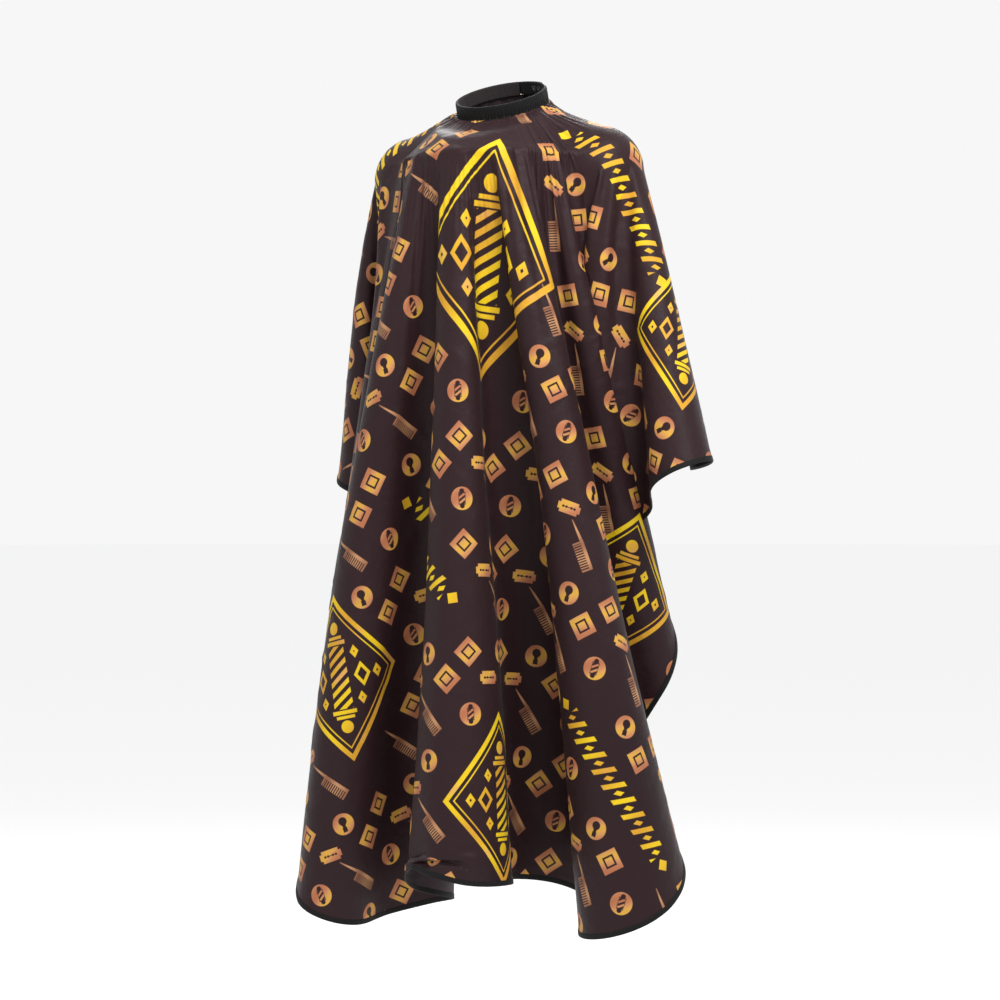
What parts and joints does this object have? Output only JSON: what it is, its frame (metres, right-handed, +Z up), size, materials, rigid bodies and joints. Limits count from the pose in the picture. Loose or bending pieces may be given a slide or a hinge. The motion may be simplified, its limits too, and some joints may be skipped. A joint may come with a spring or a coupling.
{
  "type": "barber cape",
  "caption": "Wide lightweight cape with bound edges, hanging from a tilted elastic neckband that closes at the nape with a peel-open snap tab.",
  "frame": {"origin": "centre of the neckband opening, at half the band's height", "axes": "+Z up as worn, front of the wearer at -Y, wearer's left at +X; the neckband's axis leans 24 degrees towards the front"},
  "size_m": [0.6228, 0.4003, 1.184],
  "materials": {
    "cape_cloth": "satin-faced woven polyester, printed",
    "binding_tape": "folded plain-weave tape",
    "neckband_cloth": "gathered plain-weave cloth",
    "elastic": "braided elastic",
    "stiffener": "non-woven interfacing",
    "snap_metal": "nickel-plated, satin",
    "snap_cap": "black enamel"
  },
  "bodies": {
    "root": {"cape_panel": "cape_cloth", "hem_binding": "binding_tape", "back_edge_binding_left": "binding_tape", "back_edge_binding_right": "binding_tape", "neckband_casing": "neckband_cloth", "neck_elastic": "elastic", "under_tab_lining": "neckband_cloth", "under_tab_stiffener": "stiffener", "under_tab_face": "neckband_cloth", "snap_studs": "snap_metal", "snap_stud_washers": "snap_metal"},
    "closure_tab": {"over_tab_lining": "neckband_cloth", "over_tab_stiffener": "stiffener", "over_tab_face": "neckband_cloth", "snap_sockets": "snap_metal", "snap_caps": "snap_cap"}
  },
  "joints": [
    {"name": "closure_tab_peel", "type": "hinge", "parent": "root", "child": "closure_tab", "pos_m": [-0.01191, 0.06172, 0.02748], "axis": [0, -0.4067, 0.9135], "range_deg": [0, 100]}
  ]
}
